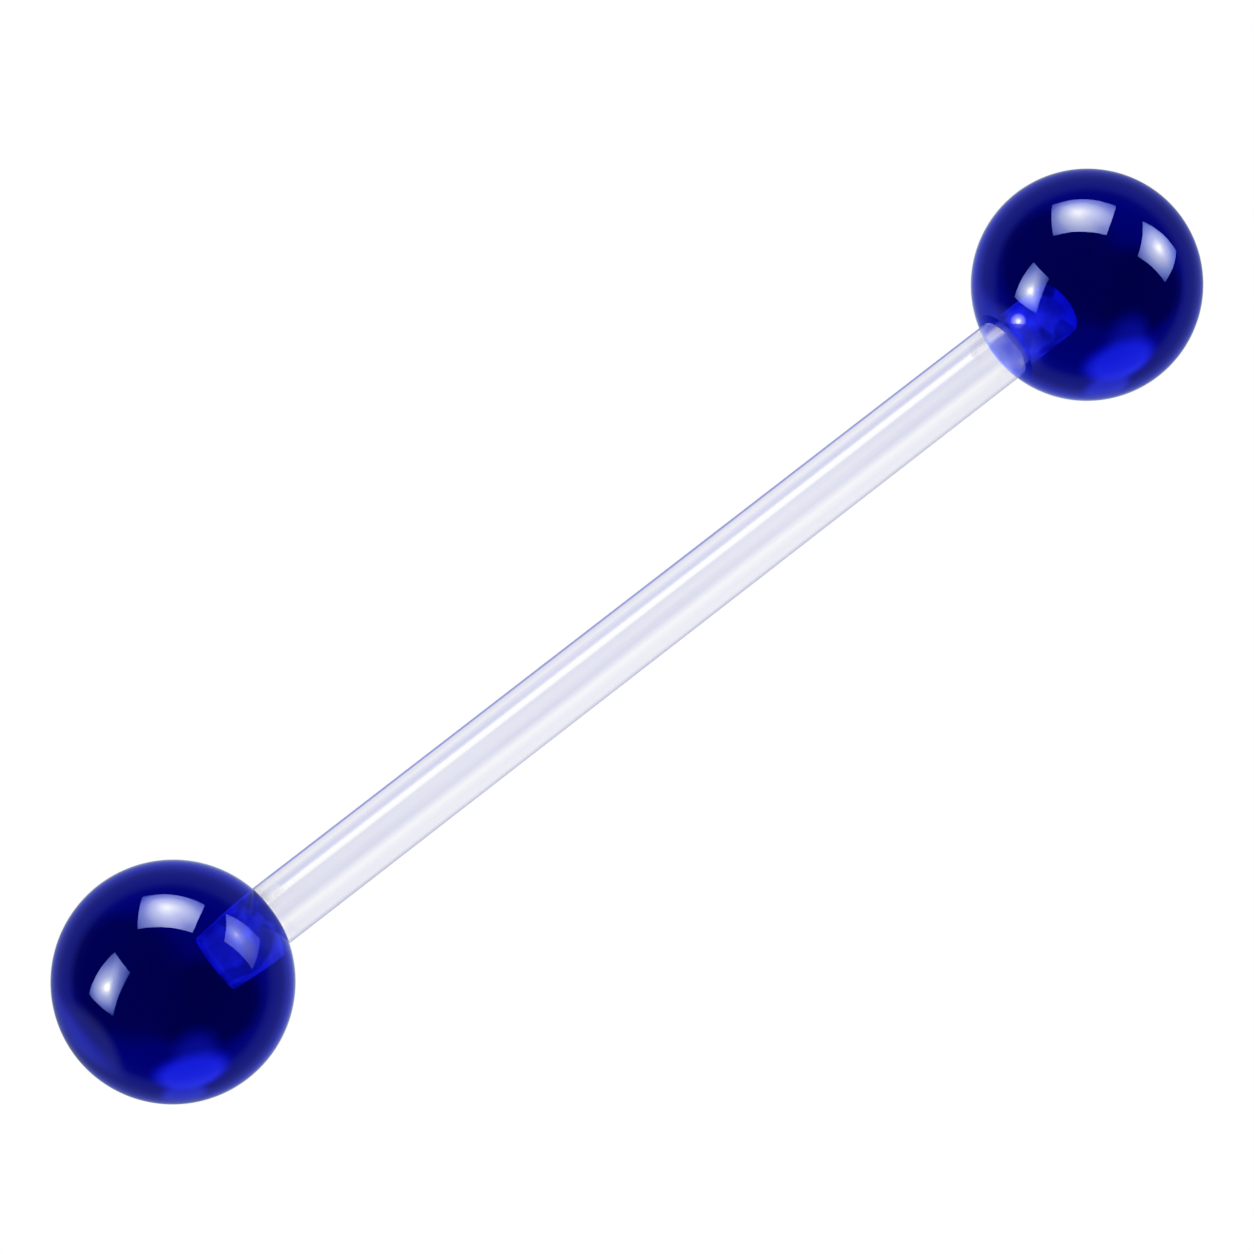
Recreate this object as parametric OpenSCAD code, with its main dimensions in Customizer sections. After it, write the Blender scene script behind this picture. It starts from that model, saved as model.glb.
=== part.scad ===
// Straight barbell retainer: a clear flexible bar with a blue ball on a tapered peg at each end.
// It lies on its two balls, with the bar along X and the floor at Z = 0.

/* [Balls] */
// Diameter of each ball
ball_d = 6; // [5:0.5:8]
// Diameter of the flat seat on the ball, round the mouth of its hole
seat_d = 1.9; // [1.9:0.05:2.4]
// How far the left ball's hole is drilled off the ball's centre, across the bar
left_hole_offset = 0.2; // [0:0.05:0.2]

/* [Shaft] */
// Diameter of the shaft, a 14 gauge bar
shaft_d = 1.63; // [1.5:0.01:1.7]
// Length of the shaft that shows between the two balls
shaft_length = 24.6; // [8:0.2:40]

/* [Pegs and holes] */
// Diameter of each tapered peg at its root, against the shaft's shoulder
peg_root_d = 1.3; // [1.1:0.05:1.3]
// Diameter of each tapered peg at its tip
peg_tip_d = 1; // [0.8:0.05:1.1]
// Length of each peg, from the shaft's shoulder to its tip
peg_length = 2.05; // [1.2:0.05:2.3]
// Length and depth of the bevel at the peg's tip
peg_bevel = 0.12; // [0.05:0.01:0.2]
// Gap between the peg and the wall of its hole
peg_clearance = 0.03; // [0.02:0.01:0.04]
// Space left past the peg's tip at the bottom of the hole
end_space = 0.1; // [0.05:0.05:0.4]
// Width of the bevel round the mouth of each hole
mouth_bevel = 0.05; // [0.02:0.01:0.06]
// Gap between the shaft's shoulder and the ball's seat
seat_gap = 0.02; // [0.01:0.01:0.05]

/* [Smoothness] */
// Number of sides that a round shape is drawn with
round_sides = 96; // [48:8:160]

/* [Hidden] */

ball_r = ball_d / 2;
shaft_r = shaft_d / 2;

// Distance from a ball's centre to its flat seat
seat_x = sqrt(pow(ball_r, 2) - pow(seat_d / 2, 2));
hole_depth = peg_length + end_space - seat_gap;

// Distance from the middle of the bar to each ball's centre
ball_x = shaft_length / 2 + seat_gap + seat_x;

// Radius of a peg at a distance from the shaft's shoulder
function peg_r(along) = (peg_root_d + (peg_tip_d - peg_root_d) * along / peg_length) / 2;

// Radius of a hole at a depth below the seat
function hole_r(depth) = peg_r(depth + seat_gap) + peg_clearance;

// Turns a solid made along Z so that it lies along X
module along_x() {
    rotate([0, 90, 0]) children();
}

// Half profile of the shaft, its radius across and its length up, from peg tip to peg tip
function shaft_profile(half, tip) = [
    [0, -tip],
    [peg_r(peg_length) - peg_bevel, -tip],
    [peg_r(peg_length - peg_bevel), -tip + peg_bevel],
    [peg_r(0), -half],
    [shaft_r, -half],
    [shaft_r, half],
    [peg_r(0), half],
    [peg_r(peg_length - peg_bevel), tip - peg_bevel],
    [peg_r(peg_length) - peg_bevel, tip],
    [0, tip]
];

module shaft() {
    half = shaft_length / 2;
    color("lavender", 0.5)
    translate([0, 0, ball_r])
    along_x()
    rotate_extrude($fn = round_sides)
    polygon(shaft_profile(half, half + peg_length));
}

// Ball with its hole opening towards +Z and the hole's axis on the Z axis
module drilled_ball(offset_y) {
    cut = 1;
    difference() {
        translate([0, offset_y, 0]) sphere(r = ball_r, $fn = round_sides);
        // Flat seat
        translate([0, 0, seat_x]) cylinder(r = ball_r, h = ball_r, $fn = round_sides);
        // Tapered blind hole
        translate([0, 0, seat_x - hole_depth])
        cylinder(r1 = hole_r(hole_depth), r2 = hole_r(-cut), h = hole_depth + cut, $fn = round_sides);
        // Bevel round the mouth
        translate([0, 0, seat_x - mouth_bevel])
        cylinder(
            r1 = hole_r(mouth_bevel),
            r2 = hole_r(mouth_bevel) + mouth_bevel + cut,
            h = mouth_bevel + cut,
            $fn = round_sides
        );
    }
}

module left_ball() {
    color("mediumblue", 0.85)
    translate([-ball_x, 0, ball_r])
    along_x()
    drilled_ball(left_hole_offset);
}

module right_ball() {
    color("mediumblue", 0.85)
    translate([ball_x, 0, ball_r])
    mirror([1, 0, 0])
    along_x()
    drilled_ball(0);
}

shaft();
left_ball();
right_ball();
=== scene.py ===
"""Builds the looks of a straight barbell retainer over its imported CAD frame: a clear plastic bar with a
blue acrylic ball at each end, lying on a pale studio floor. All lengths are in metres, in the frame of the
part."""

import math
from collections import namedtuple

import bmesh
import bpy
from bpy.props import FloatProperty, FloatVectorProperty, IntProperty, PointerProperty
from mathutils import Euler, Matrix, Vector


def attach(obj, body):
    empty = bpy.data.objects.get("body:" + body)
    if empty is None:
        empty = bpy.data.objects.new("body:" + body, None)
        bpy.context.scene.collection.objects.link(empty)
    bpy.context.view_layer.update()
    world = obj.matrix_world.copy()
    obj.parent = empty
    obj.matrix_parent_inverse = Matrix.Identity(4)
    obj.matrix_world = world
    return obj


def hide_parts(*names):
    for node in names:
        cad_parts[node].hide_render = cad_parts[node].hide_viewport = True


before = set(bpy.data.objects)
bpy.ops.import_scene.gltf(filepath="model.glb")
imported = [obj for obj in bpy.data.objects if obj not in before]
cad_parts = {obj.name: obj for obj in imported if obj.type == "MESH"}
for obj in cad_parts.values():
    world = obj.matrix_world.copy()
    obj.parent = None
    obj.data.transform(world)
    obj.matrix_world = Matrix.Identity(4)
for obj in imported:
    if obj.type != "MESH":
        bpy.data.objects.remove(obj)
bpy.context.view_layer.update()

bl_info = {
    "name": "Piercing Retainer",
    "version": (1, 0, 0),
    "blender": (4, 5, 0),
    "location": "3D View > Sidebar > Retainer",
    "description": "Clear piercing bar with two blue acrylic balls on tapered pegs, and its studio",
    "category": "Object",
}

MM = 0.001

# The ball's centre stands this high above the floor, and so does the bar's axis
AXIS_HEIGHT = 3.0 * MM
# Direction of the bar, from the left ball to the right one
BAR_AXIS = (1.0, 0.0, 0.0)
# How far the camera stands round from the front, anticlockwise from above, and how steeply it looks down,
# both in degrees
AZIMUTH = -41.05
ELEVATION = 62.52


def length_property(name, description, millimetres):
    """A length that is typed here in millimetres and shown in the scene's own unit."""
    return FloatProperty(
        name=name,
        description=description,
        default=millimetres * MM,
        min=0.0,
        precision=5,
        subtype="DISTANCE",
        unit="LENGTH",
    )


def angle_property(name, description, degrees):
    """An angle that is typed here in degrees."""
    return FloatProperty(
        name=name, description=description, default=math.radians(degrees), subtype="ANGLE", unit="ROTATION"
    )


def colour_property(name, description, colour):
    return FloatVectorProperty(
        name=name, description=description, default=colour, min=0.0, max=1.0, size=3, subtype="COLOR"
    )


class RetainerBallSettings(bpy.types.PropertyGroup):
    """Sizes and colour of the two acrylic balls."""

    diameter: length_property("Diameter", "Diameter of each ball", 6.0)
    seat_diameter: length_property("Seat", "Diameter of the flat seat round the hole", 1.9)
    hole_mouth: length_property("Hole Mouth", "Diameter of the tapered hole at the seat", 1.357)
    hole_end: length_property("Hole End", "Diameter of the tapered hole at its bottom", 1.045)
    hole_depth: length_property("Hole Depth", "Depth of the hole from the seat", 2.13)
    mouth_bevel: length_property("Mouth Bevel", "Width of the bevel round the hole's mouth", 0.05)
    left_offset: length_property("Left Offset", "How far the left ball sits off its hole, sideways", 0.2)
    edge_round: length_property("Edge Round", "Size of the rounding on the edges of seat and hole", 0.035)
    sides: IntProperty(name="Sides", description="Facets round each ball", default=224, min=24, max=256)
    dye: colour_property("Dye", "What the dyed acrylic lets through", (0.02, 0.105, 0.792))
    dye_strength: FloatProperty(
        name="Dye Strength", description="Density of the dye, for each metre of depth", default=1530.0,
        min=0.0,
    )


class RetainerShaftSettings(bpy.types.PropertyGroup):
    """Sizes and colour of the clear bar."""

    diameter: length_property("Diameter", "Diameter of the bar, 14 gauge", 1.63)
    length: length_property("Length", "Length of the bar between its shoulders", 24.6)
    peg_root: length_property("Peg Root", "Diameter of each tapered peg at the shoulder", 1.3)
    peg_tip: length_property("Peg Tip", "Diameter of each tapered peg at its tip", 1.0)
    peg_length: length_property("Peg Length", "Length of each peg from the shoulder", 2.05)
    peg_bevel: length_property("Peg Bevel", "Bevel at the peg's tip", 0.12)
    seat_gap: length_property("Seat Gap", "Gap between the shoulder and the ball's seat", 0.02)
    edge_round: length_property("Edge Round", "Size of the rounding on the shoulders' and pegs' edges", 0.03)
    sides: IntProperty(name="Sides", description="Facets round the bar", default=128, min=24, max=256)
    # The deepest streaks that this tint colours are painted reflection and refraction
    tint: colour_property("Tint", "Colour of the deepest streaks in the clear plastic", (0.72, 0.73, 0.87))


class RetainerStageSettings(bpy.types.PropertyGroup):
    """Where the camera stands, and the colour of the floor."""

    azimuth: angle_property("Azimuth", "How far the camera stands round from the front", AZIMUTH)
    elevation: angle_property("Elevation", "How steeply the camera looks down", ELEVATION)
    distance: length_property("Distance", "Distance from the camera to the bar's middle", 173.33)
    lens: FloatProperty(
        name="Lens", description="Focal length of the camera", default=197.66, min=1.0,
        subtype="DISTANCE_CAMERA",
    )
    floor_colour: colour_property("Floor", "Colour of the pale floor", (1.0, 1.0, 1.0))


# Shapes

# Stretches that each rounding is drawn in, and that the bar is drawn in
ROUND_STRETCHES = 4
BAR_STRETCHES = 24
# Edges that turn by this much or more are drawn sharp
SHARP_TURN = math.radians(25)
# A station thinner than this is a single point
POINT_RADIUS = 1e-7


def eased(profile, reach_at):
    """The profile, points of (x, radius, y), with each corner numbered in reach_at cut back and rounded."""
    points = []
    for i, point in enumerate(profile):
        reach = reach_at.get(i, 0.0)
        if not reach:
            points.append(point)
            continue
        here, before, after = Vector(point), Vector(profile[i - 1]), Vector(profile[i + 1])
        start = here + (before - here).normalized() * min(reach, (before - here).length / 2)
        end = here + (after - here).normalized() * min(reach, (after - here).length / 2)
        for k in range(ROUND_STRETCHES + 1):
            t = k / ROUND_STRETCHES
            points.append(tuple(start * (1 - t) ** 2 + here * 2 * t * (1 - t) + end * t**2))
    return points


def lathe(name, profile, sides, wall_stations=0):
    """A closed solid of round stations along X. Each station is (x, radius, y), and the first and last are
    points that close it. The first stations, as many as wall_stations says, are marked as the wall of a
    hole, its seat included."""
    mesh = bpy.data.meshes.new(name)
    bm = bmesh.new()
    wall = bm.verts.layers.float.new("hole_wall")
    rings = []
    for i, (x, radius, y) in enumerate(profile):
        count = 1 if radius < POINT_RADIUS else sides
        ring = []
        for k in range(count):
            turn = 2 * math.pi * k / count
            place = (x, y + radius * math.cos(turn), AXIS_HEIGHT + radius * math.sin(turn))
            vert = bm.verts.new(place)
            vert[wall] = 1.0 if i < wall_stations else 0.0
            ring.append(vert)
        rings.append(ring)
    for a, b in zip(rings, rings[1:]):
        for k in range(sides):
            corners = []
            for vert in (a[k % len(a)], a[(k + 1) % len(a)], b[(k + 1) % len(b)], b[k % len(b)]):
                if vert not in corners:
                    corners.append(vert)
            bm.faces.new(corners)
    bmesh.ops.recalc_face_normals(bm, faces=bm.faces)
    for face in bm.faces:
        face.smooth = True
    for edge in bm.edges:
        edge.smooth = edge.calc_face_angle(0.0) < SHARP_TURN
    bm.to_mesh(mesh)
    bm.free()
    obj = bpy.data.objects.new(name, mesh)
    bpy.context.scene.collection.objects.link(obj)
    return obj


def seat_distance(balls):
    """Distance from a ball's centre to its flat seat."""
    return math.sqrt((balls.diameter / 2) ** 2 - (balls.seat_diameter / 2) ** 2)


def ball_profile(balls, offset):
    """Stations of a ball with its centre at x = 0, y = offset, and its hole opening towards -X on the line
    y = 0: from the bottom of the hole, out through the mouth, over the seat and round the ball. The second
    value is how many stations there are up to the seat's outer edge."""
    radius, seat = balls.diameter / 2, balls.seat_diameter / 2
    seat_x = -seat_distance(balls)
    bottom = seat_x + balls.hole_depth
    taper = (balls.hole_end - balls.hole_mouth) / balls.hole_depth
    neck = (balls.hole_mouth + taper * balls.mouth_bevel) / 2
    hole_and_seat = [
        (bottom, 0.0, 0.0),
        (bottom, balls.hole_end / 2, 0.0),
        (seat_x + balls.mouth_bevel, neck, 0.0),
        (seat_x, neck + balls.mouth_bevel, 0.0),
        (seat_x, seat, offset),
    ]
    first = math.asin(seat / radius)
    steps = balls.sides // 2
    outside = []
    for k in range(1, steps + 1):
        turn = first + (math.pi - first) * k / steps
        outside.append((-radius * math.cos(turn), radius * math.sin(turn) if k < steps else 0.0, offset))
    # The corner at the bottom of the hole is softer than the others
    rounding = balls.edge_round
    profile = eased(hole_and_seat + outside, {1: 1.5 * rounding, 2: rounding, 3: rounding, 4: rounding})
    return profile, len(profile) - len(outside)


def build_ball(name, balls, centre_x, offset):
    """A ball whose hole opens towards the bar's middle."""
    profile, wall_stations = ball_profile(balls, offset)
    side = 1.0 if centre_x > 0 else -1.0
    stations = [(centre_x + side * x, radius, y) for x, radius, y in profile]
    return lathe(name, stations, balls.sides, wall_stations)


def shaft_profile(shaft):
    """Stations of the bar from the tip of its left peg to the tip of its right one."""
    half, tip = shaft.length / 2, shaft.length / 2 + shaft.peg_length
    body, root, end, bevel = shaft.diameter / 2, shaft.peg_root / 2, shaft.peg_tip / 2, shaft.peg_bevel
    right = [
        (half, body, 0.0),
        (half, root, 0.0),
        (tip - bevel, end + (root - end) * bevel / shaft.peg_length, 0.0),
        (tip, end - bevel, 0.0),
        (tip, 0.0, 0.0),
    ]
    left = [(-x, radius, y) for x, radius, y in reversed(right)]
    middle = [(-half + 2 * half * k / BAR_STRETCHES, body, 0.0) for k in range(1, BAR_STRETCHES)]
    profile = left + middle + right
    last = len(profile) - 1
    corners = {i: shaft.edge_round for i in (1, 2, 3, 4)}
    corners.update({last - i: reach for i, reach in corners.items()})
    return eased(profile, corners)


# Node helpers

WHITE = (1, 1, 1, 1)
# Edges of a soft step that is 1 up to a count of one, and of one that is 1 from a count of two
UP_TO_ONE = (1.6, 1.4)
FROM_TWO = (1.4, 1.6)


def new_tree(holder):
    """The empty node tree of a material or a world."""
    holder.use_nodes = True
    holder.node_tree.nodes.clear()
    return holder.node_tree


def set_input(tree, socket, value):
    """Sets a socket to a number or a colour, or links it to another node's output."""
    if isinstance(value, bpy.types.NodeSocket):
        tree.links.new(value, socket)
    else:
        socket.default_value = value


def add_node(tree, kind, attrs=None, **inputs):
    """A node with its attributes and inputs set. An input goes by its name, with _ for a space, or by i and
    its number."""
    node = tree.nodes.new(kind)
    for key, value in (attrs or {}).items():
        setattr(node, key, value)
    for key, value in inputs.items():
        numbered = key[0] == "i" and key[1:].isdigit()
        set_input(tree, node.inputs[int(key[1:]) if numbered else key.replace("_", " ")], value)
    return node


def math_node(tree, operation, *values):
    node = tree.nodes.new("ShaderNodeMath")
    node.operation = operation
    for socket, value in zip(node.inputs, values):
        set_input(tree, socket, value)
    return node.outputs[0]


def vector_node(tree, operation, vector, constant):
    """A number worked out from a vector and a constant one, such as their dot product or distance."""
    node = tree.nodes.new("ShaderNodeVectorMath")
    node.operation = operation
    tree.links.new(vector, node.inputs[0])
    node.inputs[1].default_value = constant
    return node.outputs["Value"]


def dot_node(tree, vector, axis):
    return vector_node(tree, "DOT_PRODUCT", vector, axis)


def noise_node(tree, vector, scale, detail):
    return add_node(tree, "ShaderNodeTexNoise", Vector=vector, Scale=scale, Detail=detail).outputs[0]


def step_node(tree, value, start, end, low=0.0, high=1.0):
    """A smooth step from low at start to high at end."""
    node = tree.nodes.new("ShaderNodeMapRange")
    node.interpolation_type = "SMOOTHSTEP"
    tree.links.new(value, node.inputs["Value"])
    for key, number in (("From Min", start), ("From Max", end), ("To Min", low), ("To Max", high)):
        node.inputs[key].default_value = number
    return node.outputs["Result"]


def band_node(tree, value, rise, fall):
    """1 between two soft edges and 0 outside them. Each edge is given by where it is 0 and where it is 1."""
    return math_node(tree, "MULTIPLY", step_node(tree, value, *rise), step_node(tree, value, *fall))


def mix_values(tree, factor, a, b):
    """a where factor is 0 and b where it is 1, for plain numbers."""
    return add_node(tree, "ShaderNodeMix", attrs={"data_type": "FLOAT"}, i0=factor, i2=a, i3=b).outputs[0]


def mix_colours(tree, factor, a, b):
    """The same for colours."""
    return add_node(tree, "ShaderNodeMix", attrs={"data_type": "RGBA"}, i0=factor, i6=a, i7=b).outputs[2]


def mix_shaders(tree, factor, a, b):
    """The same for shaders."""
    return add_node(tree, "ShaderNodeMixShader", Fac=factor, i1=a, i2=b).outputs[0]


def ramp_node(tree, value, stops, interpolation="LINEAR"):
    """A ramp through stops, each a place from 0 to 1 and a tone or a colour from 0 to 1."""
    node = tree.nodes.new("ShaderNodeValToRGB")
    tree.links.new(value, node.inputs[0])
    ramp = node.color_ramp
    ramp.interpolation = interpolation
    while len(ramp.elements) < len(stops):
        ramp.elements.new(1.0)
    for element, (place, tone) in zip(ramp.elements, stops):
        element.position = place
        element.color = (*tone, 1.0) if isinstance(tone, tuple) else (tone, tone, tone, 1.0)
    return node.outputs[0]


def view_axes(azimuth, dip, tilt=0.0):
    """Directions to the right, upward and backward of a view that is turned this far from straight ahead,
    anticlockwise from above, dips this far below level and is tilted this far, all in degrees."""
    level = Euler((math.radians(90 - dip), 0.0, math.radians(azimuth))).to_matrix()
    return (level @ Matrix.Rotation(math.radians(tilt), 3, "Z")).transposed()


def oval_node(tree, heading, oval):
    """1 inside a soft-edged oval of directions and 0 outside it."""
    right, upward, backward = view_axes(oval.azimuth, oval.dip, oval.tilt)
    a = math_node(tree, "DIVIDE", dot_node(tree, heading, right), oval.half_across)
    b = math_node(tree, "DIVIDE", dot_node(tree, heading, upward), oval.half_upward)
    squares = [math_node(tree, "MULTIPLY", value, value) for value in (a, b)]
    reach = math_node(tree, "SQRT", math_node(tree, "ADD", *squares))
    inside = step_node(tree, reach, 1.0 + oval.softness, 1.0 - oval.softness)
    # The same oval straight behind is left out
    ahead = step_node(tree, dot_node(tree, heading, -backward), 0.2, 0.3)
    return math_node(tree, "MULTIPLY", inside, ahead)


# Materials

# Refractive indices of the acrylic, and of the bar's plastic, which only its shine needs
ACRYLIC_IOR = 1.49
PLASTIC_IOR = 1.3
# Share of the light that the polish on the balls mirrors before the acrylic under it does
POLISH = 0.116
# Least and most roughness of the balls, and of the bar
BALL_ROUGHNESS = (0.002, 0.012)
BAR_ROUGHNESS = (0.03, 0.07)
# How fine each unevenness is, in patches to the metre
HAZE_SCALE = 900.0
RIPPLE_SCALE = 520.0
SHADE_PATCH_SCALE = 1500.0
LINE_SCALE = 2600.0
DRIFT_SCALE = 700.0
CLOUD_SCALE = 2200.0
# Depth of the ripple in the polish, and of the fine lines drawn along the bar
RIPPLE_DEPTH = 0.0002 * MM
LINE_DEPTH = 0.0015 * MM
# What gets through the patches of painted shade on the wall of the hole, and through the wall near its mouth
SHADE_PATCH_TINT = (0.52, 0.52, 0.62, 1)
MOUTH_TINT = (0.16, 0.25, 0.9, 1)
# Depths in the hole at which its wall still has that bluer tint in full, and at which it has lost it
MOUTH_START = 0.1 * MM
MOUTH_END = 0.8 * MM


def blue_acrylic(balls, seat_x):
    """Polished cobalt acrylic, dyed through. The soft peg is taken to fill its hole and its shoulder to lie
    on the seat, so those faces don't bend light. The seats are seat_x away from the bar's middle."""
    material = bpy.data.materials.new("blue_acrylic")
    tree = new_tree(material)
    output = add_node(tree, "ShaderNodeOutputMaterial")
    place = add_node(tree, "ShaderNodeTexCoord").outputs["Object"]
    path = add_node(tree, "ShaderNodeLightPath").outputs
    inside = add_node(tree, "ShaderNodeNewGeometry").outputs["Backfacing"]

    # Polished surface, with a trace of ripple and haze
    ripple = noise_node(tree, place, RIPPLE_SCALE, 2.0)
    normal = add_node(tree, "ShaderNodeBump", Strength=1.0, Distance=RIPPLE_DEPTH, Height=ripple).outputs[0]
    roughness = step_node(tree, noise_node(tree, place, HAZE_SCALE, 3.0), 0.35, 0.75, *BALL_ROUGHNESS)
    finish = {"Roughness": roughness, "Normal": normal, "Color": WHITE}
    body = add_node(tree, "ShaderNodeBsdfRefraction", IOR=ACRYLIC_IOR, **finish)
    gloss = add_node(tree, "ShaderNodeBsdfAnisotropic", **finish)
    # The polish outside mirrors more than the bare acrylic does inside
    bare_shine = add_node(tree, "ShaderNodeFresnel", IOR=ACRYLIC_IOR, Normal=normal).outputs[0]
    polished_shine = math_node(tree, "MULTIPLY_ADD", bare_shine, 1.0 - POLISH, POLISH)
    shine = mix_values(tree, inside, polished_shine, bare_shine)
    polished = mix_shaders(tree, shine, body.outputs[0], gloss.outputs[0])
    # Light that comes in straight through the bar leaves the ball straight too
    unbent = add_node(tree, "ShaderNodeBsdfRefraction", Roughness=0.0, IOR=1.0, Color=WHITE)
    straight = math_node(tree, "MULTIPLY", inside, path["Is Camera Ray"])
    glass = mix_shaders(tree, straight, polished, unbent.outputs[0])

    # Wall of the hole, seen through the ball: random patches of painted shade for the uneven light through
    # the peg, and bluer near its mouth
    shade_patches = step_node(tree, noise_node(tree, place, SHADE_PATCH_SCALE, 1.0), 0.55, 0.64)
    shade_patches = math_node(tree, "MULTIPLY", shade_patches, path["Is Transmission Ray"])
    wall_tint = mix_colours(tree, shade_patches, WHITE, SHADE_PATCH_TINT)
    from_middle = math_node(tree, "ABSOLUTE", dot_node(tree, place, BAR_AXIS))
    near_mouth = step_node(tree, from_middle, seat_x + MOUTH_END, seat_x + MOUTH_START)
    near_mouth = math_node(tree, "MULTIPLY", near_mouth, path["Is Transmission Ray"])
    wall_tint = mix_colours(tree, near_mouth, wall_tint, MOUTH_TINT)
    clear = add_node(tree, "ShaderNodeBsdfTransparent", Color=wall_tint)
    marked = add_node(tree, "ShaderNodeAttribute", attrs={"attribute_name": "hole_wall"}).outputs["Fac"]
    surface = mix_shaders(tree, step_node(tree, marked, 0.4, 0.6), glass, clear.outputs[0])

    dye = add_node(tree, "ShaderNodeVolumeAbsorption", Color=(*balls.dye, 1), Density=balls.dye_strength)
    tree.links.new(surface, output.inputs["Surface"])
    tree.links.new(dye.outputs[0], output.inputs["Volume"])
    return material


# Painted reflection and refraction: lengthwise streaks of tint that stand in for what the clear bar mirrors
# and bends, each by its place across the bar from 0 to 1 and its depth of tint, with the paler bands between
# them: a thin deep line of painted edge shade along either side, the deepest streak at a fifth of the width
# with a white band after it, where a painted highlight lies over the top panel's real reflection, two soft
# streaks round the middle, and one faint streak near the far side
REFLECTION_STREAKS = (
    (0.0, 1.0), (0.02, 0.8), (0.05, 0.38), (0.11, 0.25), (0.19, 0.85), (0.22, 0.7), (0.255, 0.0),
    (0.31, 0.0), (0.35, 0.5), (0.47, 0.42), (0.59, 0.58), (0.71, 0.08), (0.84, 0.28), (0.94, 0.25),
    (1.0, 0.9),
)
# Cloudiness of the bar's last half millimetre, by the same place across the bar: densest beside the white
# band
CLOUDS = (
    (0.0, 0.2), (0.13, 0.25), (0.19, 0.9), (0.27, 0.9), (0.33, 0.2), (0.5, 0.05), (0.8, 0.2), (1.0, 0.05),
)
# Direction across the bar that the painted reflection streaks are placed along, square to the way the camera
# looks
REFLECTION_STREAK_AXIS = (0.0, -0.9309, -0.3652)
# How far the streaks wander to either side, as a share of the bar's width
WANDER = 0.012
# Places across the bar where its blue side line, a painted shade of the bar's edge, has ended and where it
# is full, and the line's colour. It is thin only from the front: it goes about a ninth of the way round, a
# broad stripe from that side of the bar
EDGE_SHADE_LINE = (0.034, 0.02)
EDGE_SHADE_LINE_TINT = (0.5, 0.52, 0.88, 1)
# Share of the noise's fineness that is left along the bar, which draws it out into lines
DRAWN_SHARE = 0.06
# What the drawn lines multiply the depth of a streak by, at least and at most, and what patches multiply the
# cloudiness by
LINE_FACTORS = (0.8, 1.2)
PATCH_FACTORS = (0.6, 1.3)
# Colour of the bar where something mirrors it: painted shade for the light that the real rod bends away
MIRRORED_SHADE_TINT = (0.62, 0.62, 0.7, 1)
# Colour of the bar's milkiness and how strong it is, and the share that is left of the bar's shine
MILK_COLOUR = (0.95, 0.95, 0.97, 1)
MILKINESS = 0.1
BAR_SHINE = 0.6
# The two soft edges of the cloudy end and of the cut face of the shoulder, each by where it is 0 and where
# it is 1, as distances past the shoulder
CLOUDY_END = ((-0.62 * MM, -0.45 * MM), (0.02 * MM, -0.01 * MM))
CUT_FACE = ((-0.05 * MM, -0.035 * MM), (0.01 * MM, 0.002 * MM))


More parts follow.
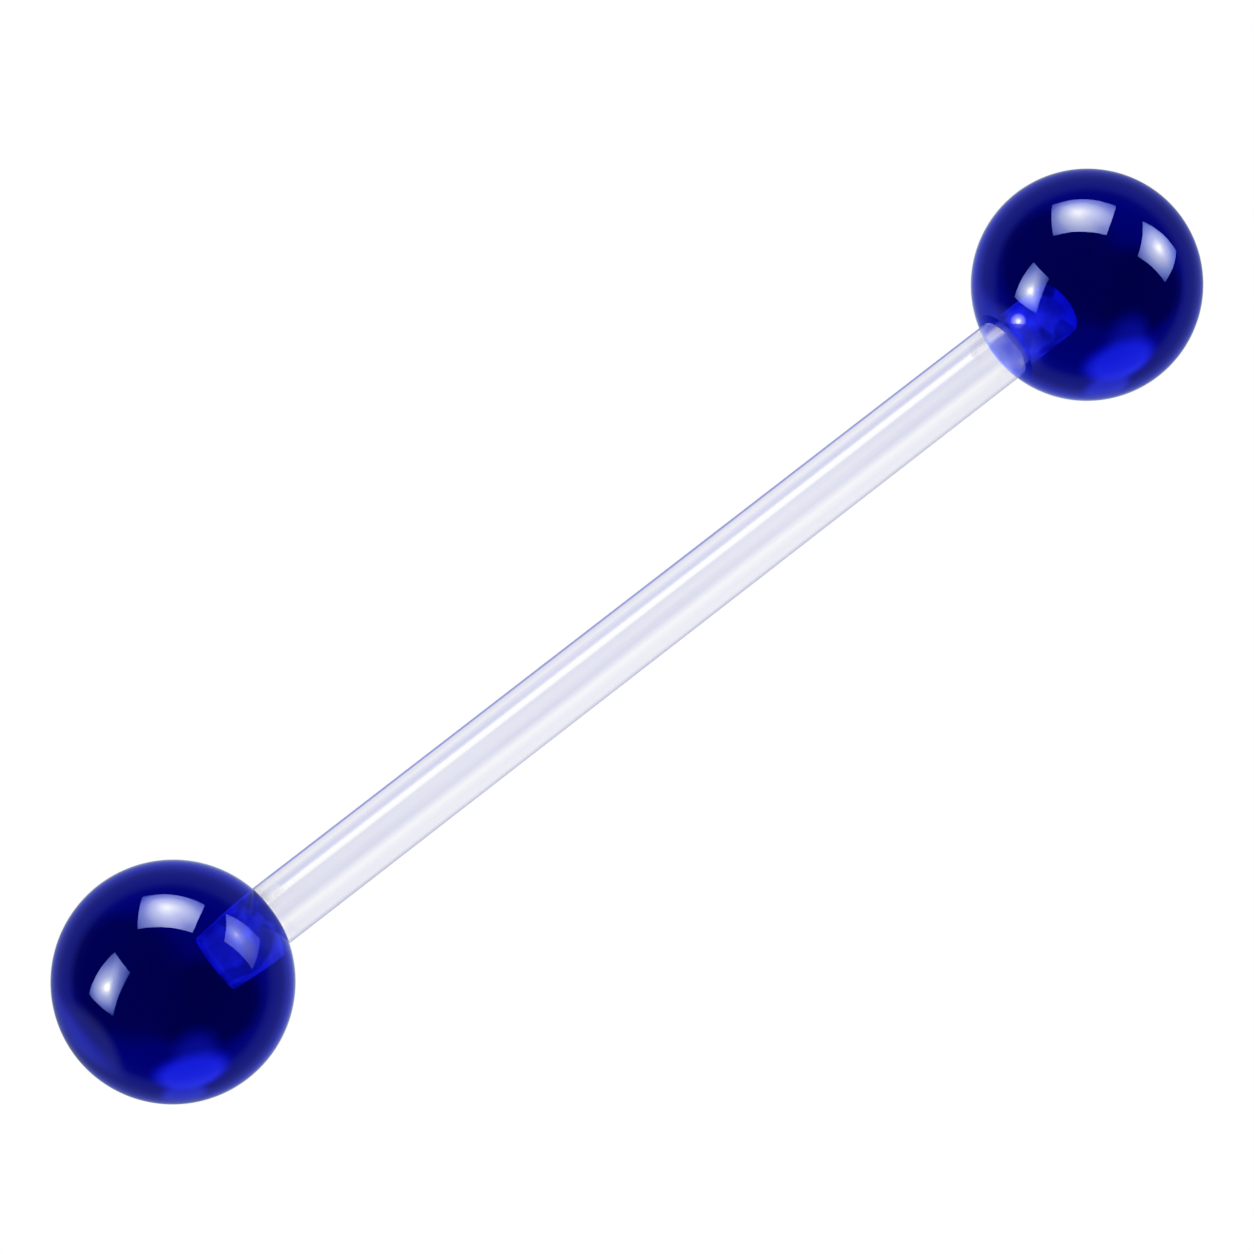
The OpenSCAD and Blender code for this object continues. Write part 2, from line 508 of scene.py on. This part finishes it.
def clear_plastic(shaft):
    """Soft clear plastic with faint lavender streaks of painted reflection and refraction, fine lines drawn
    along the bar, and a slight milkiness."""
    material = bpy.data.materials.new("clear_plastic")
    tree = new_tree(material)
    output = add_node(tree, "ShaderNodeOutputMaterial")
    place = add_node(tree, "ShaderNodeTexCoord").outputs["Object"]
    path = add_node(tree, "ShaderNodeLightPath").outputs
    inside = add_node(tree, "ShaderNodeNewGeometry").outputs["Backfacing"]
    along = add_node(tree, "ShaderNodeMapping", Vector=place, Scale=(DRAWN_SHARE, 1.0, 1.0)).outputs[0]
    lines = noise_node(tree, along, LINE_SCALE, 3.0)
    bump = add_node(tree, "ShaderNodeBump", Strength=1.0, Distance=LINE_DEPTH, Height=lines).outputs[0]

    # Painted reflection streaks, by the place across the bar, and painted shade along the bar's edge
    across = dot_node(tree, place, tuple(value / shaft.diameter for value in REFLECTION_STREAK_AXIS))
    across = math_node(tree, "ADD", across, 0.5 - REFLECTION_STREAK_AXIS[2] * AXIS_HEIGHT / shaft.diameter)
    drift = step_node(tree, noise_node(tree, along, DRIFT_SCALE, 2.0), 0.2, 0.8, -WANDER, WANDER)
    wandering = math_node(tree, "ADD", across, drift)
    line_factor = step_node(tree, lines, 0.25, 0.75, *LINE_FACTORS)
    depth = math_node(tree, "MULTIPLY", ramp_node(tree, wandering, REFLECTION_STREAKS), line_factor)
    tint = mix_colours(tree, depth, WHITE, (*shaft.tint, 1))
    tint = mix_colours(tree, step_node(tree, across, *EDGE_SHADE_LINE), tint, EDGE_SHADE_LINE_TINT)
    # A peg that is seen through a ball fills its hole, so its surface neither shines nor looks milky there
    bare = math_node(tree, "SUBTRACT", 1.0, path["Is Transmission Ray"])
    mirrored = math_node(tree, "MULTIPLY", path["Is Glossy Ray"], bare)
    # Painted shade on the bar where something mirrors it
    tint = mix_colours(tree, mirrored, tint, MIRRORED_SHADE_TINT)
    through = add_node(tree, "ShaderNodeBsdfTransparent", Color=tint)
    milk = add_node(tree, "ShaderNodeBsdfDiffuse", Color=MILK_COLOUR, Normal=bump)

    # The last of the bar is cloudy in streaks, and the cut face of the shoulder is clear and has no shine
    from_middle = math_node(tree, "ABSOLUTE", dot_node(tree, place, BAR_AXIS))
    past_shoulder = math_node(tree, "SUBTRACT", from_middle, shaft.length / 2)
    end = band_node(tree, past_shoulder, *CLOUDY_END)
    cut = band_node(tree, past_shoulder, *CUT_FACE)
    patch_factor = step_node(tree, noise_node(tree, place, CLOUD_SCALE, 1.0), 0.35, 0.6, *PATCH_FACTORS)
    cloud = math_node(tree, "MULTIPLY", ramp_node(tree, wandering, CLOUDS), patch_factor)
    milkiness = mix_values(tree, cut, mix_values(tree, end, MILKINESS, cloud), 0.0)
    milkiness = math_node(tree, "MULTIPLY", math_node(tree, "SUBTRACT", bare, mirrored), milkiness)
    body = mix_shaders(tree, milkiness, through.outputs[0], milk.outputs[0])

    # Shine, on the outside only
    roughness = step_node(tree, lines, 0.3, 0.7, *BAR_ROUGHNESS)
    gloss = add_node(tree, "ShaderNodeBsdfAnisotropic", Roughness=roughness, Normal=bump, Color=WHITE)
    outside = math_node(tree, "MULTIPLY", math_node(tree, "SUBTRACT", 1.0, inside), bare)
    shine = add_node(tree, "ShaderNodeFresnel", IOR=PLASTIC_IOR, Normal=bump).outputs[0]
    shine = math_node(tree, "MULTIPLY", shine, outside)
    shine = math_node(tree, "MULTIPLY", shine, mix_values(tree, cut, BAR_SHINE, 0.0))
    tree.links.new(mix_shaders(tree, shine, body, gloss.outputs[0]), output.inputs["Surface"])
    return material


# How near to what touches it the floor's painted contact shade reaches, and the share of its light that is
# left there
CONTACT_REACH = 0.5 * MM
CONTACT_SHARE = 0.35
# Strength of a light panel where its cloth is white
PANEL_STRENGTH = 7.2


def floor_paint(stage):
    """Evenly lit pale floor, a little darker only close to where something touches it: contact shade painted
    from ambient occlusion.
    """
    material = bpy.data.materials.new("pale_floor")
    tree = new_tree(material)
    output = add_node(tree, "ShaderNodeOutputMaterial")
    contact = add_node(tree, "ShaderNodeAmbientOcclusion", attrs={"samples": 12}, Distance=CONTACT_REACH)
    strength = step_node(tree, contact.outputs["AO"], 0.0, 0.9, CONTACT_SHARE, 1.0)
    light = add_node(tree, "ShaderNodeEmission", Color=(*stage.floor_colour, 1), Strength=strength)
    tree.links.new(light.outputs[0], output.inputs["Surface"])
    return material


def panel_light(name, hot_spot, fade):
    """Glowing cloth of a light panel, brightest at its lamp and fading bluer away from it."""
    material = bpy.data.materials.new(name)
    tree = new_tree(material)
    output = add_node(tree, "ShaderNodeOutputMaterial")
    place = add_node(tree, "ShaderNodeTexCoord").outputs["UV"]
    away = vector_node(tree, "DISTANCE", place, (*hot_spot, 0.0))
    # The fade is 0 at the lamp, and 1 as far from it as a corner is from the panel's middle
    cloth = ramp_node(tree, math_node(tree, "DIVIDE", away, math.sqrt(0.5)), fade)
    # The cloth shines on its front only, and only the first thing that mirrors it shows it
    front = math_node(tree, "SUBTRACT", 1.0, add_node(tree, "ShaderNodeNewGeometry").outputs["Backfacing"])
    bounces = add_node(tree, "ShaderNodeLightPath").outputs["Ray Depth"]
    strength = math_node(tree, "MULTIPLY", front, step_node(tree, bounces, *UP_TO_ONE, 0.0, PANEL_STRENGTH))
    light = add_node(tree, "ShaderNodeEmission", Color=cloth, Strength=strength)
    # A panel doesn't hide the one behind it
    clear = add_node(tree, "ShaderNodeBsdfTransparent", Color=WHITE)
    surface = add_node(tree, "ShaderNodeAddShader", i0=light.outputs[0], i1=clear.outputs[0])
    tree.links.new(surface.outputs[0], output.inputs["Surface"])
    return material


# Pieces


def finish_piece(obj, material, node, body):
    """Gives a piece its material, hides its node's imported part, and ties it to its body."""
    obj.data.materials.append(material)
    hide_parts(node)
    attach(obj, body)


class RETAINER_OT_add_shaft(bpy.types.Operator):
    """Build the clear bar with its two pegs"""

    bl_idname = "retainer.add_shaft"
    bl_label = "Add Shaft"

    def execute(self, context):
        shaft = context.scene.retainer_shaft
        bar = lathe("clear_shaft", shaft_profile(shaft), shaft.sides)
        finish_piece(bar, clear_plastic(shaft), "shaft", "shaft")
        return {"FINISHED"}


class RETAINER_OT_add_balls(bpy.types.Operator):
    """Build the two blue acrylic balls, each with its seat and blind hole"""

    bl_idname = "retainer.add_balls"
    bl_label = "Add Balls"

    def execute(self, context):
        balls, shaft = context.scene.retainer_balls, context.scene.retainer_shaft
        seat_x = shaft.length / 2 + shaft.seat_gap
        reach = seat_x + seat_distance(balls)
        acrylic = blue_acrylic(balls, seat_x)
        for side, centre_x, offset in (("left", -reach, balls.left_offset), ("right", reach, 0.0)):
            ball = build_ball(f"{side}_acrylic_ball", balls, centre_x, offset)
            finish_piece(ball, acrylic, f"{side}_ball", f"{side}_ball")
        return {"FINISHED"}


# Stage

# Half the width of the floor
FLOOR_HALF = 0.6

# Each light panel's corners, the spot of its lamp, its fade from the lamp outwards and, where it doesn't
# shine on everything, the pieces that it shines on
LIGHT_PANELS = {
    "top_panel": {
        "corners": (
            (0.159, 0.486, 0.192), (0.312, 0.143, 0.182), (0.132, 0.026, 0.255), (-0.031, 0.212, 0.252),
        ),
        "hot_spot": (0.58, 0.40),
        "fade": (
            (0.0, (0.86, 0.86, 0.84)), (0.3, (0.49, 0.52, 0.65)), (0.65, (0.19, 0.22, 0.46)),
            (1.0, (0.05, 0.07, 0.30)),
        ),
    },
    "right_panel": {
        "corners": (
            (0.231, 0.012, 0.097), (0.241, -0.064, -0.010), (0.182, -0.166, 0.046), (0.157, -0.098, 0.171),
        ),
        "hot_spot": (0.46, 0.53),
        "fade": (
            (0.0, (1.0, 1.0, 0.95)), (0.15, (0.65, 0.67, 0.71)), (0.3, (0.43, 0.46, 0.60)),
            (0.65, (0.17, 0.21, 0.45)), (1.0, (0.04, 0.06, 0.27)),
        ),
        "shone_on": ("right_acrylic_ball", "clear_shaft"),
    },
    "right_dim_panel": {
        "corners": (
            (0.1970, 0.0328, 0.0773), (0.2072, -0.0420, -0.0120),
            (0.1680, -0.1291, 0.0403), (0.1597, -0.0506, 0.1394),
        ),
        "hot_spot": (0.28, 0.46),
        "fade": (
            (0.0, (0.41, 0.39, 0.45)), (0.15, (0.19, 0.22, 0.42)), (0.4, (0.10, 0.12, 0.30)),
            (1.0, (0.03, 0.035, 0.12)),
        ),
        "shone_on": ("left_acrylic_ball",),
    },
    "left_panel": {
        "corners": (
            (-0.107, 0.122, 0.123), (-0.109, 0.038, 0.129), (-0.286, 0.017, 0.061), (-0.328, 0.186, 0.024),
        ),
        "hot_spot": (0.44, 0.53),
        "fade": (
            (0.0, (1.0, 1.0, 0.95)), (0.07, (0.96, 0.96, 0.92)), (0.15, (0.60, 0.63, 0.72)),
            (0.3, (0.34, 0.38, 0.58)), (0.65, (0.12, 0.15, 0.40)), (1.0, (0.02, 0.035, 0.18)),
        ),
    },
    "glint_lamp": {
        "corners": (
            (-0.0905, 0.0462, -0.0175), (-0.0998, 0.0225, 0.0122),
            (-0.1003, 0.0106, -0.0152), (-0.0867, 0.0349, -0.0428),
        ),
        "hot_spot": (0.5, 0.5),
        "fade": (
            (0.0, (0.9, 0.9, 0.9)), (0.1, (0.8, 0.8, 0.82)), (0.3, (0.28, 0.29, 0.42)),
            (0.7, (0.0, 0.0, 0.0)),
        ),
        "shone_on": ("right_acrylic_ball",),
    },
}

# Tone seen through the balls, as a share of SEEN_STRENGTH, and tone mirrored by them, both by the angle, in
# right angles, from the direction that AZIMUTH and ELEVATION give
SEEN = ((0.0, 0.22), (0.62, 0.26), (0.71, 0.45), (0.85, 0.8), (1.0, 0.95))
SEEN_STRENGTH = 4.5
MIRRORED = (
    (0.0, 1.0), (0.1, 0.5), (0.25, 0.22), (0.4, 0.12), (0.6, 0.065), (0.75, 0.05), (0.87, 0.007), (1.0, 0.0),
)
# Tone straight through the bar's end, without a peg in the way and with one
END_TONE = 0.8
END_PEG_TONE = 1.4
# Least and most tone through a peg in a ball, and how fine its glints are over all directions
PEG_TONES = (2.4, 4.2)
GLINT_SCALE = 5.0
# Tints of what the balls and the bar mirror, of the sunlit floor, of the light through the pegs, and of the
# shade under the bar's ends
SKY = (0.82, 0.98, 1.1, 1)
SUN = (6.0, 5.0, 1.0, 1)
GLOW = (2.5, 2.2, 1.0, 1)
SHADE = (0.57, 0.68, 1.0, 1)

# A soft oval of the surroundings: how a view straight at it is turned, dips and is tilted, in degrees, then
# the oval's half widths as sines, its softness and its tone
Oval = namedtuple("Oval", "azimuth dip tilt half_across half_upward softness tone")
# Ovals of shaded floor that show through the left and the right ball
SHADED = (
    Oval(-13.1, 54.1, -24.2, 0.37, 0.26, 0.25, 0.43),
    Oval(-81.1, 63.0, 0.6, 0.42, 0.36, 0.25, 0.54),
)
# Ovals of sunlight that show through the balls: the tail of the glow, a strip near the horizon, the body of
# the glow and a glow on the right
SUNLIT = (
    Oval(-26.5, 39.3, -12.3, 0.12, 0.14, 0.6, 1.9),
    Oval(-34.3, 4.2, -5.8, 0.165, 0.30, 0.3, 3.3),
    Oval(-29.5, 26.6, 10.3, 0.235, 0.20, 0.32, 4.6),
    Oval(-92.7, 22.5, 9.4, 0.38, 0.17, 0.5, 2.3),
)
# Oval of brightness low on the left that the balls mirror
BRIGHT_LEFT = Oval(72.4, 34.1, 26.8, 0.36, 0.47, 0.25, 0.09)


def build_floor(stage):
    mesh = bpy.data.meshes.new("floor")
    half = FLOOR_HALF
    corners = [(-half, -half, 0), (half, -half, 0), (half, half, 0), (-half, half, 0)]
    mesh.from_pydata(corners, [], [(0, 1, 2, 3)])
    floor = bpy.data.objects.new("floor", mesh)
    bpy.context.scene.collection.objects.link(floor)
    mesh.materials.append(floor_paint(stage))
    # The tones of the surroundings stand for the floor in what the pieces mirror and let through
    floor.visible_transmission = False
    floor.visible_glossy = False


def build_panel(name, corners, hot_spot, fade, shone_on=()):
    """A light panel, which shines on everything or only on the pieces that shone_on names."""
    mesh = bpy.data.meshes.new(name)
    mesh.from_pydata(corners, [], [(0, 1, 2, 3)])
    layer = mesh.uv_layers.new(name="panel")
    for loop, spot in zip(layer.data, ((0, 1), (1, 1), (1, 0), (0, 0))):
        loop.uv = spot
    panel = bpy.data.objects.new(name, mesh)
    bpy.context.scene.collection.objects.link(panel)
    mesh.materials.append(panel_light(name, hot_spot, fade))
    panel.visible_camera = False
    panel.visible_transmission = False
    panel.visible_shadow = False
    panel.visible_diffuse = False
    if shone_on:
        lit = bpy.data.collections.new(f"lit_by_{name}")
        for piece in shone_on:
            lit.objects.link(bpy.data.objects[piece])
        panel.light_linking.receiver_collection = lit


def build_surroundings():
    """White all round as the camera sees it, with the tones that the balls mirror and let through."""
    world = bpy.data.worlds.new("studio")
    bpy.context.scene.world = world
    tree = new_tree(world)
    output = add_node(tree, "ShaderNodeOutputWorld")
    heading = add_node(tree, "ShaderNodeTexCoord").outputs["Generated"]
    path = add_node(tree, "ShaderNodeLightPath").outputs
    looking = -view_axes(AZIMUTH, ELEVATION)[2]
    angle = math_node(tree, "ARCCOSINE", dot_node(tree, heading, looking))
    turn = math_node(tree, "DIVIDE", angle, math.pi / 2)

    # Through the balls: the shaded floor straight behind, the brighter floor round it and the sunlit ovals
    seen = math_node(tree, "MULTIPLY", ramp_node(tree, turn, SEEN, "EASE"), SEEN_STRENGTH)
    sunny = 0.0
    for oval in SHADED:
        seen = mix_values(tree, oval_node(tree, heading, oval), seen, oval.tone)
    for oval in SUNLIT:
        patch = oval_node(tree, heading, oval)
        seen = mix_values(tree, patch, seen, oval.tone)
        sunny = mix_values(tree, patch, sunny, 1.0)
    # Through a peg in a ball, and straight through the bar's end, where a dark line shows round the seat
    through_peg = step_node(tree, path["Transparent Depth"], *FROM_TWO)
    straight = step_node(tree, path["Transmission Depth"], *UP_TO_ONE)
    glints = step_node(tree, noise_node(tree, heading, GLINT_SCALE, 1.0), 0.35, 0.65, *PEG_TONES)
    seen = mix_values(tree, through_peg, seen, glints)
    seen = mix_values(tree, straight, seen, mix_values(tree, through_peg, END_TONE, END_PEG_TONE))
    bright_left = oval_node(tree, heading, BRIGHT_LEFT)
    mirrored = mix_values(tree, bright_left, ramp_node(tree, turn, MIRRORED), BRIGHT_LEFT.tone)

    tone = mix_values(tree, path["Is Glossy Ray"], 1.0, mirrored)
    tone = mix_values(tree, path["Is Transmission Ray"], tone, seen)
    tone = mix_values(tree, path["Is Camera Ray"], tone, 1.0)
    mirror_only = math_node(tree, "SUBTRACT", path["Is Glossy Ray"], path["Is Transmission Ray"])
    tint = mix_colours(tree, sunny, WHITE, SUN)
    tint = mix_colours(tree, through_peg, tint, GLOW)
    tint = mix_colours(tree, straight, tint, SHADE)
    tint = mix_colours(tree, path["Is Transmission Ray"], WHITE, tint)
    tint = mix_colours(tree, mirror_only, tint, SKY)
    light = add_node(tree, "ShaderNodeBackground", Color=tint, Strength=tone)
    tree.links.new(light.outputs[0], output.inputs["Surface"])


# The camera's aim is such that the point AIM shows AIM_RIGHT to the right of the picture's middle and AIM_UP
# above it
AIM = (0.0, 0.1 * MM, AXIS_HEIGHT)
AIM_RIGHT = 0.379 * MM
AIM_UP = 0.070 * MM
# Width of the camera's sensor, in millimetres as a camera has it
SENSOR_WIDTH = 36.0


def place_camera(stage):
    data = bpy.data.cameras.new("camera")
    camera = bpy.data.objects.new("camera", data)
    bpy.context.scene.collection.objects.link(camera)
    data.sensor_width = SENSOR_WIDTH
    data.lens = stage.lens
    data.clip_start = 0.001
    data.clip_end = 10.0
    data.dof.use_dof = False
    camera.rotation_euler = (math.pi / 2 - stage.elevation, 0.0, stage.azimuth)
    turn = camera.rotation_euler.to_matrix()
    camera.location = Vector(AIM) - turn @ Vector((AIM_RIGHT, AIM_UP, -stage.distance))
    bpy.context.scene.camera = camera


class RETAINER_OT_set_stage(bpy.types.Operator):
    """Set up the floor, the light panels, the surroundings and the camera"""

    bl_idname = "retainer.set_stage"
    bl_label = "Set Stage"

    def execute(self, context):
        stage = context.scene.retainer_stage
        build_floor(stage)
        for name, panel in LIGHT_PANELS.items():
            build_panel(name, **panel)
        build_surroundings()
        place_camera(stage)
        context.scene.view_settings.view_transform = "Standard"
        return {"FINISHED"}


class RETAINER_PT_panel(bpy.types.Panel):
    """Sizes, colours and build steps of the retainer"""

    bl_idname = "RETAINER_PT_panel"
    bl_label = "Piercing Retainer"
    bl_space_type = "VIEW_3D"
    bl_region_type = "UI"
    bl_category = "Retainer"

    def draw(self, context):
        for settings, operator in (
            (context.scene.retainer_shaft, RETAINER_OT_add_shaft),
            (context.scene.retainer_balls, RETAINER_OT_add_balls),
            (context.scene.retainer_stage, RETAINER_OT_set_stage),
        ):
            column = self.layout.box().column()
            for name in settings.__annotations__:
                column.prop(settings, name)
            column.operator(operator.bl_idname)


CLASSES = (
    RetainerBallSettings,
    RetainerShaftSettings,
    RetainerStageSettings,
    RETAINER_OT_add_shaft,
    RETAINER_OT_add_balls,
    RETAINER_OT_set_stage,
    RETAINER_PT_panel,
)


def register():
    for cls in CLASSES:
        bpy.utils.register_class(cls)
    bpy.types.Scene.retainer_balls = PointerProperty(type=RetainerBallSettings)
    bpy.types.Scene.retainer_shaft = PointerProperty(type=RetainerShaftSettings)
    bpy.types.Scene.retainer_stage = PointerProperty(type=RetainerStageSettings)


def unregister():
    del bpy.types.Scene.retainer_stage
    del bpy.types.Scene.retainer_shaft
    del bpy.types.Scene.retainer_balls
    for cls in reversed(CLASSES):
        bpy.utils.unregister_class(cls)


def main():
    register()
    bpy.ops.retainer.add_shaft()
    bpy.ops.retainer.add_balls()
    bpy.ops.retainer.set_stage()


if __name__ == "__main__":
    main()
